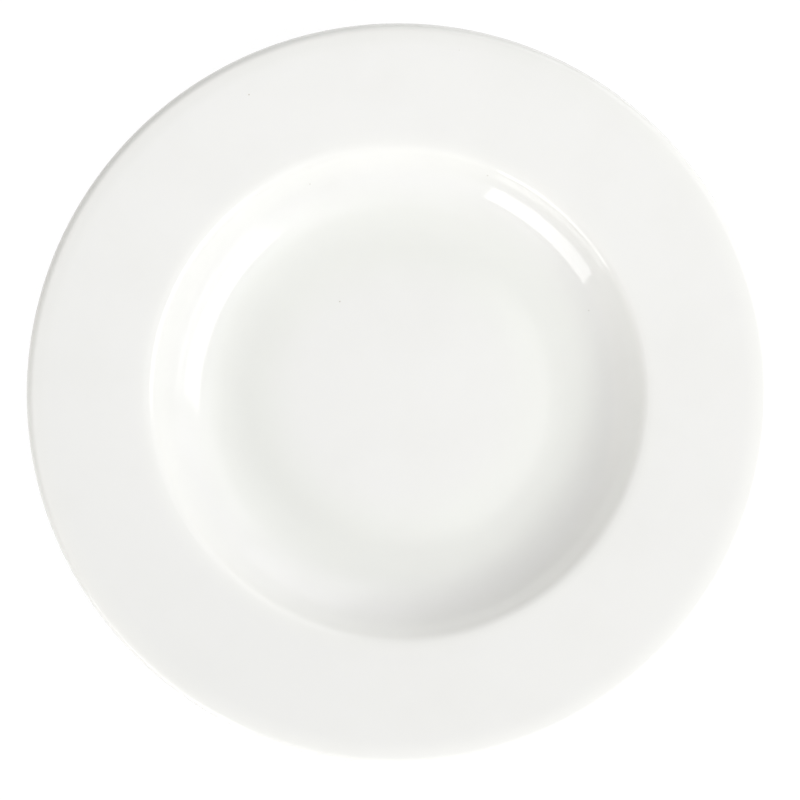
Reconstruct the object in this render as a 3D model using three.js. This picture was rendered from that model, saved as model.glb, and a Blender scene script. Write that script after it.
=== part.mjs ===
// Pasta plate: a round white porcelain plate with a deep well, a wide rising rim with a rolled lip,
// and a foot ring. Glaze covers all of it but the foot ring's bearing face, so it is two coats:
// one over the face, the lip and the outside, and one inside the foot ring.
// Units are millimetres, +Z is up, and the origin is on the axis at the foot ring's bearing face.

import * as THREE from "three";

// Overall sizes of the finished plate.
const plateDiameter = 300;
const glazeThickness = 0.3;

// The coats lie this far off the body all over, so that their facets and the body's never cross.
const glazeGap = 0.02;

// Heights of the porcelain body: the recess inside the foot ring, the floor over it,
// and the well from there up to the shoulder.
const footRecess = 4.8;
const baseThickness = 6.2;
const wellDepth = 17.4;

// Well: a floor that is flat in the middle and falls to a shallow moat over the foot ring, the sweep
// from there up into the wall, and the shoulder where the rim starts.
const floorCrownDiameter = 96.4;
const floorCrownRadius = 95;
const floorFall = 8.3;
const moatDiameter = 130;
const moatRadius = 27.5;
const moatRise = 8;
const wellDiameter = 199.2;
const wallSlope = 53;
const wallSweepRadius = 43.9;
const shoulderRadius = 7.5;

// Rim: it leaves the shoulder a little steeper and eases to its own slope.
const shoulderSlope = 22;
const rimEaseDiameter = 206.4;
const rimEaseRadius = 22;
const rimSlope = 13;

// Lip: the rim bends level before it rolls over the edge, and the lip hangs below it.
const lipBendDiameter = 286;
const lipBendRadius = 24;
const lipNoseRadius = 3.1;
const lipDepth = 6.2;
const lipUnderRadius = 1.4;
const lipUndercut = 10;
const lipUndercutRadius = 15;

// Thickness of the rim and the wall, and the sweeps on the underside.
const rimThickness = 4.4;
const wallThickness = 4.6;
const underShoulderRadius = 15;
const underWallRadius = 36;
const underSlope = 5;

// Foot ring: its bearing face, its height outside, the draft of its flanks, its fillets, and the
// height above the bearing face up to which the glaze is wiped off.
const footDiameter = 139;
const footWidth = 4;
const footHeight = 4.4;
const footDraft = 12;
const footFilletRadius = 2.2;
const recessFilletRadius = 2.2;
const footEdgeRadius = 0.8;
const glazeWipeHeight = 1.6;

// Facets: steps round the axis, and how far a chord may lie from the arc that it stands for.
const turnSteps = 48;
const arcTolerance = 0.1;

// A line in the half section, through (r, z), that climbs outwards at a slope in degrees.
function sectionLine(r, z, slope) {
  const angle = THREE.MathUtils.degToRad(slope);
  return {
    through: new THREE.Vector2(r, z),
    along: new THREE.Vector2(Math.cos(angle), Math.sin(angle)),
  };
}

// The same line moved down, square to itself.
function lineBelow(line, distance) {
  const down = new THREE.Vector2(line.along.y, -line.along.x);
  return { through: line.through.clone().addScaledVector(down, distance), along: line.along };
}

function crossing(lineA, lineB) {
  const between = new THREE.Vector2().subVectors(lineB.through, lineA.through);
  const distance = between.cross(lineB.along) / lineA.along.cross(lineB.along);
  return lineA.through.clone().addScaledVector(lineA.along, distance);
}

function leftOf(direction) {
  return new THREE.Vector2(-direction.y, direction.x);
}

// A corner of the half section, rounded by an arc. A path's two ends have no radius.
function corner(at, radius = 0) {
  return { at, radius };
}

// Follows the corners and rounds the inner ones, each radius limited by the sides that it joins.
// Each point keeps the surface's outward normal, which lies on the left of the way that the path runs.
function roundedPath(corners) {
  const sides = corners.slice(1).map((end, i) => {
    const side = new THREE.Vector2().subVectors(end.at, corners[i].at);
    return { length: side.length(), direction: side.normalize() };
  });
  const turns = corners.map((_, i) => {
    if (i === 0 || i === sides.length) return 0;
    const before = sides[i - 1].direction;
    const after = sides[i].direction;
    return Math.atan2(before.cross(after), before.dot(after));
  });
  const reaches = corners.map(({ radius }, i) => radius * Math.tan(Math.abs(turns[i]) / 2));

  const points = [{ at: corners[0].at, normal: leftOf(sides[0].direction) }];
  for (let i = 1; i < sides.length; i++) {
    const shareBefore = sides[i - 1].length / (reaches[i - 1] + reaches[i]);
    const shareAfter = sides[i].length / (reaches[i] + reaches[i + 1]);
    const share = Math.min(1, shareBefore, shareAfter);
    const radius = corners[i].radius * share;
    const bulge = turns[i] < 0 ? radius : -radius;
    const firstNormal = leftOf(sides[i - 1].direction);
    const center = corners[i].at
      .clone()
      .addScaledVector(sides[i - 1].direction, -reaches[i] * share)
      .addScaledVector(firstNormal, -bulge);
    const stepTurn = 2 * Math.acos(1 - arcTolerance / radius);
    const steps = Math.ceil(Math.abs(turns[i]) / stepTurn);
    for (let step = 0; step <= steps; step++) {
      const turned = (turns[i] * step) / steps;
      const normal = firstNormal.clone().rotateAround(new THREE.Vector2(), turned);
      points.push({ at: center.clone().addScaledVector(normal, bulge), normal });
    }
  }
  points.push({ at: corners.at(-1).at, normal: leftOf(sides.at(-1).direction) });
  return points;
}

// Levels and radii of the porcelain body.
const bodyRadius = plateDiameter / 2 - glazeThickness - glazeGap;
const floorLevel = footRecess + baseThickness;
const footOuterRadius = footDiameter / 2;
const footInnerRadius = footOuterRadius - footWidth;

// Lines and corners of the upper side, and the lines of the underside.
const floorCrown = new THREE.Vector2(floorCrownDiameter / 2, floorLevel);
const moat = crossing(
  sectionLine(floorCrown.x, floorCrown.y, -floorFall),
  sectionLine(moatDiameter / 2, 0, 90),
);
const moatRiseLine = sectionLine(moat.x, moat.y, moatRise);
const shoulder = new THREE.Vector2(wellDiameter / 2, floorLevel + wellDepth);
const wallLine = sectionLine(shoulder.x, shoulder.y, wallSlope);
const rimEase = crossing(
  sectionLine(shoulder.x, shoulder.y, shoulderSlope),
  sectionLine(rimEaseDiameter / 2, 0, 90),
);
const rimLine = sectionLine(rimEase.x, rimEase.y, rimSlope);
const lipBend = crossing(rimLine, sectionLine(lipBendDiameter / 2, 0, 90));
const lipEdge = crossing(sectionLine(lipBend.x, lipBend.y, 0), sectionLine(bodyRadius, 0, 90));
const underRimLine = lineBelow(rimLine, rimThickness);
const underWallLine = lineBelow(wallLine, wallThickness);
const underFloorLine = sectionLine(footOuterRadius, footHeight, underSlope);
const undercutLine = sectionLine(bodyRadius - lipUndercut, 0, 90);
const recessLine = sectionLine(0, footRecess, 0);
const wipeLine = sectionLine(0, glazeWipeHeight, 0);
const footOuterFlank = sectionLine(footOuterRadius, 0, 90 - footDraft);
const footInnerFlank = sectionLine(footInnerRadius, 0, 90 + footDraft);

// The body's outline, in the three stretches that the wiped lines on the foot ring divide it into:
// from the floor's centre over the lip to the foot, the bare foot, and the recess inside the foot.
const outerWipe = crossing(footOuterFlank, wipeLine);
const innerWipe = crossing(footInnerFlank, wipeLine);
const outsideStretch = roundedPath([
  corner(new THREE.Vector2(0, floorLevel)),
  corner(floorCrown, floorCrownRadius),
  corner(moat, moatRadius),
  corner(crossing(moatRiseLine, wallLine), wallSweepRadius),
  corner(shoulder, shoulderRadius),
  corner(rimEase, rimEaseRadius),
  corner(lipBend, lipBendRadius),
  corner(lipEdge, lipNoseRadius),
  corner(new THREE.Vector2(bodyRadius, lipEdge.y - lipDepth), lipUnderRadius),
  corner(crossing(undercutLine, underRimLine), lipUndercutRadius),
  corner(crossing(underRimLine, underWallLine), underShoulderRadius),
  corner(crossing(underWallLine, underFloorLine), underWallRadius),
  corner(crossing(underFloorLine, footOuterFlank), footFilletRadius),
  corner(outerWipe),
]);
const bareFootStretch = roundedPath([
  corner(outerWipe),
  corner(new THREE.Vector2(footOuterRadius, 0), footEdgeRadius),
  corner(new THREE.Vector2(footInnerRadius, 0), footEdgeRadius),
  corner(innerWipe),
]);
const recessStretch = roundedPath([
  corner(innerWipe),
  corner(crossing(footInnerFlank, recessLine), recessFilletRadius),
  corner(new THREE.Vector2(0, footRecess)),
]);

// Points of a stretch, at a height over the body's surface.
function pointsAbove(stretch, height) {
  return stretch.map(({ at, normal }) => at.clone().addScaledVector(normal, height));
}

// Section of a glaze coat, from the axis round to the axis: its skin along a stretch, and its seat
// on the body. The stretch may start or end on the axis.
function coatPoints(stretch) {
  const skin = pointsAbove(stretch, glazeGap + glazeThickness);
  const seat = pointsAbove(stretch, glazeGap).reverse();
  return stretch[0].at.x === 0 ? [...skin, ...seat] : [...seat, ...skin];
}

const plate = new THREE.Group();

function addTurned(name, sectionPoints, material) {
  const geometry = new THREE.LatheGeometry(sectionPoints.reverse(), turnSteps);
  geometry.rotateX(Math.PI / 2);
  const mesh = new THREE.Mesh(geometry, new THREE.MeshStandardMaterial(material));
  mesh.name = name;
  plate.add(mesh);
}

// The fired clay, with a duller warm white where the foot ring is bare.
addTurned(
  "porcelain_body",
  [
    ...pointsAbove(outsideStretch, 0),
    ...pointsAbove(bareFootStretch, 0).slice(1, -1),
    ...pointsAbove(recessStretch, 0),
  ],
  { color: 0xe9e6de, roughness: 0.8, metalness: 0 },
);
addTurned("face_glaze", coatPoints(outsideStretch), { color: 0xf2f2f0, roughness: 0.08, metalness: 0 });
addTurned("base_glaze", coatPoints(recessStretch), { color: 0xf1f1ee, roughness: 0.1, metalness: 0 });

export default plate;
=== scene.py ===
# White pasta plate: glazed porcelain on a bare foot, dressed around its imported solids. Metres, +Z up.
import math
import bpy
from mathutils import Matrix, Vector


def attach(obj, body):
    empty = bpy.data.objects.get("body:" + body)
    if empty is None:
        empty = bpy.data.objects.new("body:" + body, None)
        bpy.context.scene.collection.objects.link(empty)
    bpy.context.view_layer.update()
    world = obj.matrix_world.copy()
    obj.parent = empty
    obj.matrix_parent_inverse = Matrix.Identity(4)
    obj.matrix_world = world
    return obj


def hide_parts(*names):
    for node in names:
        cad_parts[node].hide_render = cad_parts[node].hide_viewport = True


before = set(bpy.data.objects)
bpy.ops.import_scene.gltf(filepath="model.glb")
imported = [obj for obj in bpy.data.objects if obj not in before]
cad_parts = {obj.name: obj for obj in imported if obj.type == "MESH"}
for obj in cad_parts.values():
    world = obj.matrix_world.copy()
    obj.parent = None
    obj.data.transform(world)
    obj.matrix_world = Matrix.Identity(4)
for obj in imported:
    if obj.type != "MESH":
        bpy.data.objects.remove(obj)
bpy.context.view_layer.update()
mm = 0.001
print("frame loaded:", sorted(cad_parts))


# Small helpers
def srgb(hexColour):
    parts = [int(hexColour[i:i + 2], 16) / 255 for i in (0, 2, 4)]
    return [p / 12.92 if p <= 0.04045 else ((p + 0.055) / 1.055) ** 2.4 for p in parts] + [1.0]


def addNode(tree, kind, values=None, links=None, **settings):
    node = tree.nodes.new(kind)
    for setting, value in settings.items():
        setattr(node, setting, value)
    for socket, value in (values or {}).items():
        node.inputs[socket].default_value = value
    for socket, source in (links or {}).items():
        tree.links.new(source, node.inputs[socket])
    return node


def startMaterial(name):
    material = bpy.data.materials.new(name)
    material.use_nodes = True
    return material, material.node_tree, material.node_tree.nodes["Principled BSDF"]


def towards(azimuth, elevation):  # a direction, from degrees round from +X and degrees up
    a, e = math.radians(azimuth), math.radians(elevation)
    return Vector((math.cos(a) * math.cos(e), math.sin(a) * math.cos(e), math.sin(e)))


# Camera: almost straight above, leaning a little towards the far side of the plate
viewpoint = {"leanTo": 98.0, "elevation": 85.5, "distance": 1.25, "lens": 139.25,
             "aim": (0.5 * mm, -1.2 * mm, 35 * mm)}
bpy.ops.object.camera_add()
camera = bpy.context.object
camera.name = "plateCamera"
camera.data.lens = viewpoint["lens"]
lookBack = towards(viewpoint["leanTo"], viewpoint["elevation"])
camera.location = Vector(viewpoint["aim"]) + lookBack * viewpoint["distance"]
acrossView = Vector((0, 1, 0)).cross(lookBack).normalized()
upView = lookBack.cross(acrossView)
camera.rotation_euler = Matrix((acrossView, upView, lookBack)).transposed().to_euler()
bpy.context.scene.camera = camera
bpy.context.scene.view_settings.view_transform = "Standard"
print("camera set")


# Half section of the plate: sizes of the porcelain body in millimetres, slopes in degrees, then how
# finely it is drawn and turned
section = {
    "plateDiameter": 300.0, "glazeThickness": 0.3, "glazeGap": 0.02,
    "footRecess": 4.8, "baseThickness": 6.2, "wellDepth": 17.4, "wellDiameter": 199.2,
    "floorCrownDiameter": 96.4, "floorCrownRadius": 95.0, "floorFall": 8.3,
    "moatDiameter": 130.0, "moatRadius": 27.5, "moatRise": 8.0,
    "wallSlope": 53.0, "wallSweepRadius": 43.9, "shoulderRadius": 7.5,
    "shoulderSlope": 22.0, "rimEaseDiameter": 206.4, "rimEaseRadius": 22.0, "rimSlope": 13.0,
    "lipBendDiameter": 286.0, "lipBendRadius": 24.0, "lipNoseRadius": 3.1,
    "lipDepth": 6.2, "lipUnderRadius": 1.4, "lipUndercut": 10.0, "lipUndercutRadius": 15.0,
    "rimThickness": 4.4, "wallThickness": 4.6, "underShoulderRadius": 15.0, "underWallRadius": 36.0,
    "underSlope": 5.0, "footDiameter": 139.0, "footWidth": 4.0, "footHeight": 4.4, "footDraft": 12.0,
    "footFilletRadius": 2.2, "recessFilletRadius": 2.2, "footEdgeRadius": 0.8, "glazeWipeHeight": 1.6,
    "arcSagitta": 0.0105, "fewestArcSteps": 3, "shortestRun": 1e-6, "longestRun": 4.0,
    "turnSteps": 192, "mergeDistance": 0.002, "smoothAngle": 32.0,
}


def slopeLine(r, z, slope):
    return Vector((r, z)), Vector((math.cos(math.radians(slope)), math.sin(math.radians(slope))))


def lineBelow(line, distance):
    return line[0] + Vector((line[1].y, -line[1].x)) * distance, line[1]


def crossing(lineA, lineB):
    return lineA[0] + lineA[1] * (lineB[0] - lineA[0]).cross(lineB[1]) / lineA[1].cross(lineB[1])


bodyRadius = section["plateDiameter"] / 2 - section["glazeThickness"] - section["glazeGap"]
floorLevel = section["footRecess"] + section["baseThickness"]
footOuter = section["footDiameter"] / 2
footInner = footOuter - section["footWidth"]
shoulder = Vector((section["wellDiameter"] / 2, floorLevel + section["wellDepth"]))
floorCrown = Vector((section["floorCrownDiameter"] / 2, floorLevel))
moat = crossing(slopeLine(*floorCrown, -section["floorFall"]),
                slopeLine(section["moatDiameter"] / 2, 0, 90))
wallLine = slopeLine(*shoulder, section["wallSlope"])
rimEase = crossing(slopeLine(*shoulder, section["shoulderSlope"]),
                   slopeLine(section["rimEaseDiameter"] / 2, 0, 90))
rimLine = slopeLine(*rimEase, section["rimSlope"])
lipBend = crossing(rimLine, slopeLine(section["lipBendDiameter"] / 2, 0, 90))
lipEdge = crossing(slopeLine(*lipBend, 0), slopeLine(bodyRadius, 0, 90))
underFloorLine = slopeLine(footOuter, section["footHeight"], section["underSlope"])
underWallLine = lineBelow(wallLine, section["wallThickness"])
underRimLine = lineBelow(rimLine, section["rimThickness"])
undercutLine = slopeLine(bodyRadius - section["lipUndercut"], 0, 90)
outerFlank = slopeLine(footOuter, 0, 90 - section["footDraft"])
innerFlank = slopeLine(footInner, 0, 90 + section["footDraft"])
wipeLine = slopeLine(0, section["glazeWipeHeight"], 0)
recessLine = slopeLine(0, section["footRecess"], 0)

# Corners of the section with the radius that rounds each one: over the face and down to the foot,
# the bare foot, and the recess inside it
overFace = [
    (Vector((0, floorLevel)), 0),
    (floorCrown, section["floorCrownRadius"]),
    (moat, section["moatRadius"]),
    (crossing(slopeLine(*moat, section["moatRise"]), wallLine), section["wallSweepRadius"]),
    (shoulder, section["shoulderRadius"]),
    (rimEase, section["rimEaseRadius"]),
    (lipBend, section["lipBendRadius"]),
    (lipEdge, section["lipNoseRadius"]),
    (lipEdge - Vector((0, section["lipDepth"])), section["lipUnderRadius"]),
    (crossing(undercutLine, underRimLine), section["lipUndercutRadius"]),
    (crossing(underRimLine, underWallLine), section["underShoulderRadius"]),
    (crossing(underWallLine, underFloorLine), section["underWallRadius"]),
    (crossing(underFloorLine, outerFlank), section["footFilletRadius"]),
    (crossing(outerFlank, wipeLine), 0),
]
underFoot = [
    overFace[-1],
    (Vector((footOuter, 0)), section["footEdgeRadius"]),
    (Vector((footInner, 0)), section["footEdgeRadius"]),
    (crossing(innerFlank, wipeLine), 0),
]
insideFoot = [
    underFoot[-1],
    (crossing(innerFlank, recessLine), section["recessFilletRadius"]),
    (Vector((0, section["footRecess"])), 0),
]


def leftOf(direction):
    return Vector((-direction.y, direction.x))


def startSection(name, corners, height):
    # One point at the section's start, from a small plane whose corners are merged
    bpy.ops.object.select_all(action="DESELECT")
    bpy.ops.mesh.primitive_plane_add(size=mm)
    piece = bpy.context.object
    piece.name = piece.data.name = name
    pen = corners[0][0] + leftOf((corners[1][0] - corners[0][0]).normalized()) * height
    bpy.ops.object.mode_set(mode="EDIT")
    bpy.ops.mesh.select_all(action="SELECT")
    bpy.ops.mesh.merge(type="CENTER")
    bpy.ops.transform.translate(value=(pen.x * mm, 0, pen.y * mm))
    return piece, pen


def drawRun(pen, end):
    if (end - pen).length <= section["shortestRun"]:
        return end
    steps = math.ceil((end - pen).length / section["longestRun"])
    move = (end - pen) * mm / steps
    for _ in range(steps):
        bpy.ops.mesh.extrude_region_move(TRANSFORM_OT_translate={"value": (move.x, 0, move.y)})
    return end


def drawSection(pen, corners, height):
    # Straight runs are extruded and rounded corners spun, at a height over the body's own surface
    for i in range(1, len(corners) - 1):
        (before, _), (at, radius), (after, _) = corners[i - 1:i + 2]
        wayIn, wayOut = (at - before).normalized(), (after - at).normalized()
        turn = math.atan2(wayIn.cross(wayOut), wayIn.dot(wayOut))
        bulge = -math.copysign(radius, turn)
        centre = at - wayIn * radius * math.tan(abs(turn) / 2) - leftOf(wayIn) * bulge
        pen = drawRun(pen, centre + leftOf(wayIn) * (bulge + height))
        stepTurn = 2 * math.acos(1 - section["arcSagitta"] / radius)
        steps = max(section["fewestArcSteps"], math.ceil(abs(turn) / stepTurn))
        bpy.ops.mesh.spin(steps=steps, angle=turn, center=(centre.x * mm, 0, centre.y * mm),
                          axis=(0, 1, 0))
        pen = centre + leftOf(wayOut) * (bulge + height)
    return drawRun(pen, corners[-1][0] + leftOf(wayOut) * height)


def turnOnWheel():
    # The section goes once round the axis. Seam and poles are merged, then faces turned outwards
    bpy.ops.mesh.select_all(action="SELECT")
    bpy.ops.mesh.spin(steps=section["turnSteps"], angle=math.tau, center=(0, 0, 0), axis=(0, 0, 1))
    bpy.ops.mesh.select_all(action="SELECT")
    bpy.ops.mesh.remove_doubles(threshold=section["mergeDistance"] * mm)
    bpy.ops.mesh.normals_make_consistent(inside=False)
    bpy.ops.object.mode_set(mode="OBJECT")


def addModifier(piece, kind, **settings):
    modifier = piece.modifiers.new(kind.lower(), kind)
    for setting, value in settings.items():
        setattr(modifier, setting, value)
    bpy.ops.object.modifier_apply(modifier=modifier.name)


def finishPiece(piece, node, material):
    bpy.ops.object.shade_smooth_by_angle(angle=math.radians(section["smoothAngle"]))
    piece.data.materials.append(material)
    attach(piece, "root")
    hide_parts(node)
    print(piece.name, "finished with", len(piece.data.polygons), "faces")


# Clear glaze on white porcelain: fired glossy, so it mirrors the lamps sharply, over a white that is
# a touch green where the glaze pools and a touch lighter where it runs thin. Sizes are in millimetres,
# and the tones stand at shares of the plate's radius
glazeLook = {
    "pooled": "f1f2ee", "middle": "f2f2f0", "thin": "f4f4f1",
    "tones": ((0.0, "middle"), (0.27, "middle"), (0.38, "pooled"), (0.50, "pooled"), (0.59, "middle"),
              (0.66, "thin"), (0.72, "middle"), (0.93, "middle"), (0.985, "thin")),
    "cloud": "ededea", "cloudSize": 34.0, "cloudRange": (0.45, 0.75), "cloudShare": 0.35,
    "speck": "b8b2a4", "speckCell": 6.0, "speckSize": 0.34, "speckCore": 0.3, "speckShare": 0.03,
    "ior": 1.5, "smoothest": 0.015, "dullest": 0.035, "dullPatch": 18.0, "dullRange": (0.3, 0.7),
    "peelSize": 4.5, "peelHeight": 0.004, "ringSpacing": 1.9, "ringHeight": 0.0012,
}


def glazeMaterial(name, look):
    material, tree, shader = startMaterial(name)
    place = addNode(tree, "ShaderNodeTexCoord").outputs["Object"]
    split = addNode(tree, "ShaderNodeSeparateXYZ", links={0: place})
    flat = addNode(tree, "ShaderNodeCombineXYZ", links={0: split.outputs[0], 1: split.outputs[1]})
    outward = addNode(tree, "ShaderNodeVectorMath", links={0: flat.outputs[0]}, operation="LENGTH")
    # Glaze pools in the moat and the sweep of the wall, and runs thin over the shoulder and the lip
    share = addNode(tree, "ShaderNodeMath", {1: section["plateDiameter"] / 2 * mm},
                    {0: outward.outputs["Value"]}, operation="DIVIDE")
    depth = addNode(tree, "ShaderNodeValToRGB", links={0: share.outputs[0]})
    for position, _ in look["tones"][2:]:
        depth.color_ramp.elements.new(position)
    for element, (position, tone) in zip(depth.color_ramp.elements, look["tones"]):
        element.position = position
        element.color = srgb(look[tone])
    clouds = addNode(tree, "ShaderNodeTexNoise", {"Scale": 1 / (look["cloudSize"] * mm), "Detail": 3.0},
                     {"Vector": place})
    cloudFrom, cloudTo = look["cloudRange"]
    cloudy = addNode(tree, "ShaderNodeMapRange",
                     {1: cloudFrom, 2: cloudTo, 3: 0.0, 4: look["cloudShare"]}, {0: clouds.outputs[0]})
    toned = addNode(tree, "ShaderNodeMix", {7: srgb(look["cloud"])},
                    {0: cloudy.outputs[0], 6: depth.outputs[0]}, data_type="RGBA")
    # A few specks of iron in the clay
    specks = addNode(tree, "ShaderNodeTexVoronoi", {"Scale": 1 / (look["speckCell"] * mm)},
                     {"Vector": place})
    speckReach = look["speckSize"] / look["speckCell"]
    speckSpot = addNode(tree, "ShaderNodeMapRange", {1: speckReach, 2: look["speckCore"] * speckReach},
                        {0: specks.outputs["Distance"]})
    speckDraw = addNode(tree, "ShaderNodeSeparateXYZ", links={0: specks.outputs["Color"]})
    speckKept = addNode(tree, "ShaderNodeMath", {1: look["speckShare"]}, {0: speckDraw.outputs[0]},
                        operation="LESS_THAN")
    speckMask = addNode(tree, "ShaderNodeMath", links={0: speckSpot.outputs[0], 1: speckKept.outputs[0]},
                        operation="MULTIPLY")
    specked = addNode(tree, "ShaderNodeMix", {7: srgb(look["speck"])},
                      {0: speckMask.outputs[0], 6: toned.outputs[2]}, data_type="RGBA")
    tree.links.new(specked.outputs[2], shader.inputs["Base Color"])
    # Gloss, a little duller in patches
    patches = addNode(tree, "ShaderNodeTexNoise", {"Scale": 1 / (look["dullPatch"] * mm), "Detail": 2.0},
                      {"Vector": place})
    dullFrom, dullTo = look["dullRange"]
    gloss = addNode(tree, "ShaderNodeMapRange",
                    {1: dullFrom, 2: dullTo, 3: look["smoothest"], 4: look["dullest"]},
                    {0: patches.outputs[0]})
    tree.links.new(gloss.outputs[0], shader.inputs["Roughness"])
    shader.inputs["IOR"].default_value = look["ior"]
    # Soft orange peel, and the fine rings that the forming roller left. At a scale of 1 the rings
    # would lie pi / 10 apart
    peel = addNode(tree, "ShaderNodeTexNoise", {"Scale": 1 / (look["peelSize"] * mm), "Detail": 1.0},
                   {"Vector": place})
    ringScale = math.pi / (10 * look["ringSpacing"] * mm)
    rings = addNode(tree, "ShaderNodeTexWave", {"Scale": ringScale, "Distortion": 0.0},
                    {"Vector": flat.outputs[0]}, wave_type="RINGS", rings_direction="SPHERICAL")
    peelRise = addNode(tree, "ShaderNodeMath", {1: look["peelHeight"]}, {0: peel.outputs[0]},
                       operation="MULTIPLY")
    rise = addNode(tree, "ShaderNodeMath", {1: look["ringHeight"]},
                   {0: rings.outputs[1], 2: peelRise.outputs[0]}, operation="MULTIPLY_ADD")
    bump = addNode(tree, "ShaderNodeBump", {"Strength": 1.0, "Distance": mm},
                   {"Height": rise.outputs[0]})
    tree.links.new(bump.outputs[0], shader.inputs["Normal"])
    return material


# Bare fired porcelain: unglazed and dry, so matt and faintly grainy, with a warmer white than the
# glaze. Sizes are in millimetres, and the grain is drawn coarser than it is, so that it shows
bisqueLook = {"pale": "e9e5dc", "worn": "d9d3c6", "stainSize": 9.0, "stainRange": (0.15, 0.4),
              "grain": 0.8, "grainHeight": 0.02, "rough": 0.72}


def bisqueMaterial(name, look):
    material, tree, shader = startMaterial(name)
    place = addNode(tree, "ShaderNodeTexCoord").outputs["Object"]
    stains = addNode(tree, "ShaderNodeTexNoise", {"Scale": 1 / (look["stainSize"] * mm), "Detail": 4.0},
                     {"Vector": place})
    grain = addNode(tree, "ShaderNodeTexNoise", {"Scale": 1 / (look["grain"] * mm), "Detail": 3.0},
                    {"Vector": place})
    mixed = addNode(tree, "ShaderNodeMath", links={0: stains.outputs[0], 1: grain.outputs[0]},
                    operation="MULTIPLY")
    stainFrom, stainTo = look["stainRange"]
    spread = addNode(tree, "ShaderNodeMapRange", {1: stainFrom, 2: stainTo}, {0: mixed.outputs[0]})
    tone = addNode(tree, "ShaderNodeMix", {6: srgb(look["worn"]), 7: srgb(look["pale"])},
                   {0: spread.outputs[0]}, data_type="RGBA")
    tree.links.new(tone.outputs[2], shader.inputs["Base Color"])
    shader.inputs["Roughness"].default_value = look["rough"]
    bump = addNode(tree, "ShaderNodeBump", {"Strength": 1.0, "Distance": look["grainHeight"] * mm},
                   {"Height": grain.outputs[0]})
    tree.links.new(bump.outputs[0], shader.inputs["Normal"])
    return material


# Inside the foot the glaze is left as the spray and the roller gave it, a little rougher
footGlazeLook = {**glazeLook, "peelHeight": 0.008, "ringHeight": 0.004, "ringSpacing": 2.6}
faceGlaze = glazeMaterial("clearGlazeOnPorcelain", glazeLook)
baseGlaze = glazeMaterial("clearGlazeInsideFoot", footGlazeLook)
bisque = bisqueMaterial("bareFiredPorcelain", bisqueLook)
print("materials made")

# Porcelain body, seen where the foot is bare
body, pen = startSection("platePorcelainBody", overFace, 0)
pen = drawSection(pen, overFace, 0)
pen = drawSection(pen, underFoot, 0)
drawSection(pen, insideFoot, 0)
turnOnWheel()
finishPiece(body, "porcelain_body", bisque)

# Glaze coats: a skin with its thickness towards the body and a soft edge at the wiped line
coatEdge = {"width": 0.13 * mm, "segments": 3, "angle_limit": math.radians(40)}
skin = section["glazeGap"] + section["glazeThickness"]
for name, corners, node, material in (("plateFaceGlaze", overFace, "face_glaze", faceGlaze),
                                      ("plateBaseGlaze", insideFoot, "base_glaze", baseGlaze)):
    coat, pen = startSection(name, corners, skin)
    drawSection(pen, corners, skin)
    turnOnWheel()
    addModifier(coat, "SOLIDIFY", thickness=section["glazeThickness"] * mm, offset=-1,
                use_even_offset=True)
    addModifier(coat, "BEVEL", limit_method="ANGLE", **coatEdge)
    finishPiece(coat, node, material)

# Floor: matt pale paper. For what looks at it, it glows as a painted pool of light, white around the
# plate with the plate's shadow kept, and fading to an even pale grey glow further off. Its radii are in
# metres
floorLook = {"colour": "f2f2f2", "rough": 0.9, "paintedPoolGlow": 0.885, "shadowShare": 0.20, "farLevel": 0.78,
             "paintedPoolRadius": 0.236, "fadeRadius": 0.35, "across": 24.0}
bpy.ops.object.select_all(action="DESELECT")
bpy.ops.mesh.primitive_plane_add(size=floorLook["across"])
floor = bpy.context.object
floor.name = "paleFloor"
material, tree, shader = startMaterial("palePaperFloor")
shader.inputs["Base Color"].default_value = srgb(floorLook["colour"])
shader.inputs["Roughness"].default_value = floorLook["rough"]
shader.inputs["Specular IOR Level"].default_value = 0.0
path = addNode(tree, "ShaderNodeLightPath")
looking = addNode(tree, "ShaderNodeMath", operation="MAXIMUM",
                  links={0: path.outputs["Is Camera Ray"], 1: path.outputs["Is Glossy Ray"]})
seen = addNode(tree, "ShaderNodeMath", operation="MAXIMUM",
               links={0: looking.outputs[0], 1: path.outputs["Is Transmission Ray"]})
place = addNode(tree, "ShaderNodeTexCoord").outputs["Object"]
outward = addNode(tree, "ShaderNodeVectorMath", links={0: place}, operation="LENGTH")
fades = {1: floorLook["paintedPoolRadius"], 2: floorLook["fadeRadius"]}
nearShare = 1 - floorLook["shadowShare"]
# Painted pool of light: the floor's glow is strongest around the plate and fades to pale grey further
# off
level = addNode(tree, "ShaderNodeMapRange",
                {**fades, 3: floorLook["paintedPoolGlow"] / nearShare, 4: floorLook["farLevel"]},
                {0: outward.outputs["Value"]}, interpolation_type="SMOOTHSTEP")
evenness = addNode(tree, "ShaderNodeMapRange", {**fades, 3: nearShare, 4: 1.0},
                   {0: outward.outputs["Value"]}, interpolation_type="SMOOTHSTEP")
paintedPoolLight = addNode(tree, "ShaderNodeEmission", links={"Strength": level.outputs[0]})
share = addNode(tree, "ShaderNodeMath", links={0: seen.outputs[0], 1: evenness.outputs[0]},
                operation="MULTIPLY")
mix = addNode(tree, "ShaderNodeMixShader",
              links={0: share.outputs[0], 1: shader.outputs[0], 2: paintedPoolLight.outputs[0]})
tree.links.new(mix.outputs[0], tree.nodes["Material Output"].inputs["Surface"])
floor.data.materials.append(material)
print("floor laid")

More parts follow.
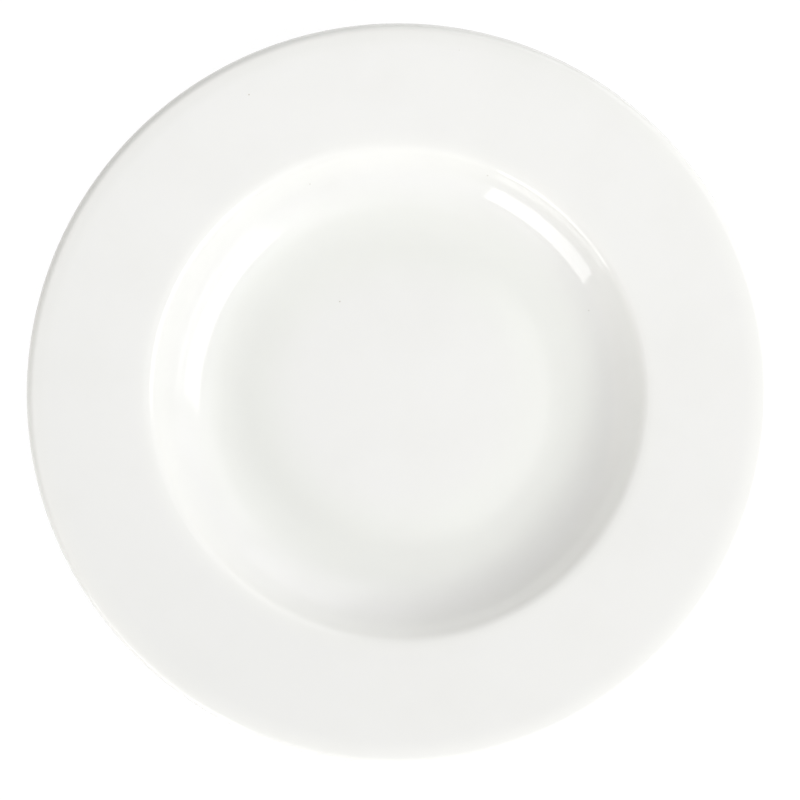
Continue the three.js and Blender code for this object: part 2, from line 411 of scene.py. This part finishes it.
# Soft boxes and bounce panels: each spans an angle across and upright, as the plate sees it, and glows
# less towards its edges. Angles are in degrees and distances in metres. The bounce from the left is
# warmer, which warms the wall that lies in shade
softBoxes = {
    "keySoftBox": {"azimuth": 331.0, "elevation": 37.0, "spans": (57.0, 22.0), "distance": 1.3,
                   "softEdge": 0.3, "radiance": 3.32},
    "keyMiddleBox": {"azimuth": 331.0, "elevation": 24.0, "spans": (57.0, 20.0), "distance": 1.3,
                     "softEdge": 0.3, "radiance": 0.87},
    "keyLowBox": {"azimuth": 331.0, "elevation": 11.0, "spans": (57.0, 18.0), "distance": 1.3,
                  "softEdge": 0.3, "radiance": 0.47},
    "keyBounce": {"azimuth": 334.0, "elevation": 38.0, "spans": (100.0, 64.0), "distance": 1.3,
                  "softEdge": 0.5, "radiance": 0.86},
    "sideBounce": {"azimuth": 14.0, "elevation": 35.0, "spans": (50.0, 50.0), "distance": 1.3,
                   "softEdge": 0.5, "radiance": 0.50},
    "sideLowBounce": {"azimuth": 20.0, "elevation": 10.0, "spans": (60.0, 18.0), "distance": 1.3,
                      "softEdge": 0.5, "radiance": 0.29},
    "sideTopBounce": {"azimuth": 20.0, "elevation": 62.0, "spans": (80.0, 30.0), "distance": 1.3,
                      "softEdge": 0.5, "radiance": 0.41},
    "backBounce": {"azimuth": 52.0, "elevation": 36.0, "spans": (60.0, 50.0), "distance": 1.3,
                   "softEdge": 0.5, "radiance": 0.79},
    "backSoftBox": {"azimuth": 49.0, "elevation": 27.0, "spans": (14.0, 28.0), "distance": 1.3,
                    "softEdge": 0.15, "radiance": 0.48},
    "lowSoftBox": {"azimuth": 232.2, "elevation": 13.0, "spans": (32.5, 22.0), "distance": 1.1,
                   "softEdge": 0.01, "radiance": 3.30},
    "lowBounce": {"azimuth": 232.0, "elevation": 22.0, "spans": (70.0, 40.0), "distance": 1.1,
                  "softEdge": 0.5, "radiance": 0.26},
    "frontBounce": {"azimuth": 280.0, "elevation": 36.0, "spans": (60.0, 50.0), "distance": 1.3,
                    "softEdge": 0.5, "radiance": 0.38},
    "leftBounce": {"azimuth": 190.0, "elevation": 15.0, "spans": (60.0, 26.0), "distance": 1.3,
                   "softEdge": 0.5, "radiance": 0.73, "colour": "fff8ea"},
    "leftBackBounce": {"azimuth": 160.0, "elevation": 14.0, "spans": (40.0, 24.0), "distance": 1.3,
                       "softEdge": 0.5, "radiance": 0.34, "colour": "fff8ea"},
    "topBounce": {"azimuth": 120.0, "elevation": 68.0, "spans": (60.0, 40.0), "distance": 1.3,
                  "softEdge": 0.5, "radiance": 0.21, "colour": "fff8ea"},
}


def softGlow(tree, softEdge):
    # Full in the middle of the lamp's face, and smoothly down to nothing at its four edges
    face = addNode(tree, "ShaderNodeNewGeometry").outputs["Parametric"]
    onFace = addNode(tree, "ShaderNodeSeparateXYZ", links={0: face})
    fades = []
    for axis in (0, 1):
        fromMiddle = addNode(tree, "ShaderNodeMath", {1: 0.5}, {0: onFace.outputs[axis]},
                             operation="SUBTRACT")
        outward = addNode(tree, "ShaderNodeMath", links={0: fromMiddle.outputs[0]}, operation="ABSOLUTE")
        fades.append(addNode(tree, "ShaderNodeMapRange",
                             {1: 0.5 - 0.5 * softEdge, 2: 0.5, 3: 1.0, 4: 0.0},
                             {0: outward.outputs[0]}, interpolation_type="SMOOTHSTEP"))
    glow = addNode(tree, "ShaderNodeMath", links={0: fades[0].outputs[0], 1: fades[1].outputs[0]},
                   operation="MULTIPLY")
    tree.links.new(glow.outputs[0], tree.nodes["Emission"].inputs["Strength"])


lampsAim = Vector((0, 0, 20 * mm))
for name, box in softBoxes.items():
    toLamp = towards(box["azimuth"], box["elevation"])
    bpy.ops.object.light_add(type="AREA", location=toLamp * box["distance"] + lampsAim)
    lamp = bpy.context.object
    lamp.name = name
    lamp.data.shape = "RECTANGLE"
    across, upright = (2 * box["distance"] * math.tan(math.radians(span / 2)) for span in box["spans"])
    lamp.data.size, lamp.data.size_y = across * math.cos(math.radians(box["elevation"])), upright
    lamp.data.energy = box["radiance"] * math.pi * lamp.data.size * lamp.data.size_y
    lamp.data.color = srgb(box.get("colour", "ffffff"))[:3]
    lamp.data.use_nodes = True
    softGlow(lamp.data.node_tree, box["softEdge"])
    lamp.rotation_euler = toLamp.to_track_quat("Z", "Y").to_euler()
    lamp.visible_camera = False
print("lamps set")

# Room light: levels by how far a direction leans to the side of the soft boxes, from away to towards
room = {"brightSide": (335.0, 35.0),
        "levels": ((0.0, 0.0), (0.2, 0.0), (0.4, 0.38), (0.6, 1.14), (0.8, 0.33), (1.0, 0.0))}
world = bpy.data.worlds.new("studioRoom")
bpy.context.scene.world = world
world.use_nodes = True
tree = world.node_tree
sky = addNode(tree, "ShaderNodeTexCoord").outputs["Generated"]
lean = addNode(tree, "ShaderNodeVectorMath", {1: towards(*room["brightSide"])}, {0: sky},
               operation="DOT_PRODUCT")
level = addNode(tree, "ShaderNodeMapRange", {1: -1.0, 2: 1.0}, {0: lean.outputs["Value"]})
ramp = addNode(tree, "ShaderNodeValToRGB", links={0: level.outputs[0]})
for position, _ in room["levels"][2:]:
    ramp.color_ramp.elements.new(position)
for element, (position, brightness) in zip(ramp.color_ramp.elements, room["levels"]):
    element.position = position
    element.color = [brightness] * 3 + [1.0]
tree.links.new(ramp.outputs[0], tree.nodes["Background"].inputs["Color"])
print("room set")
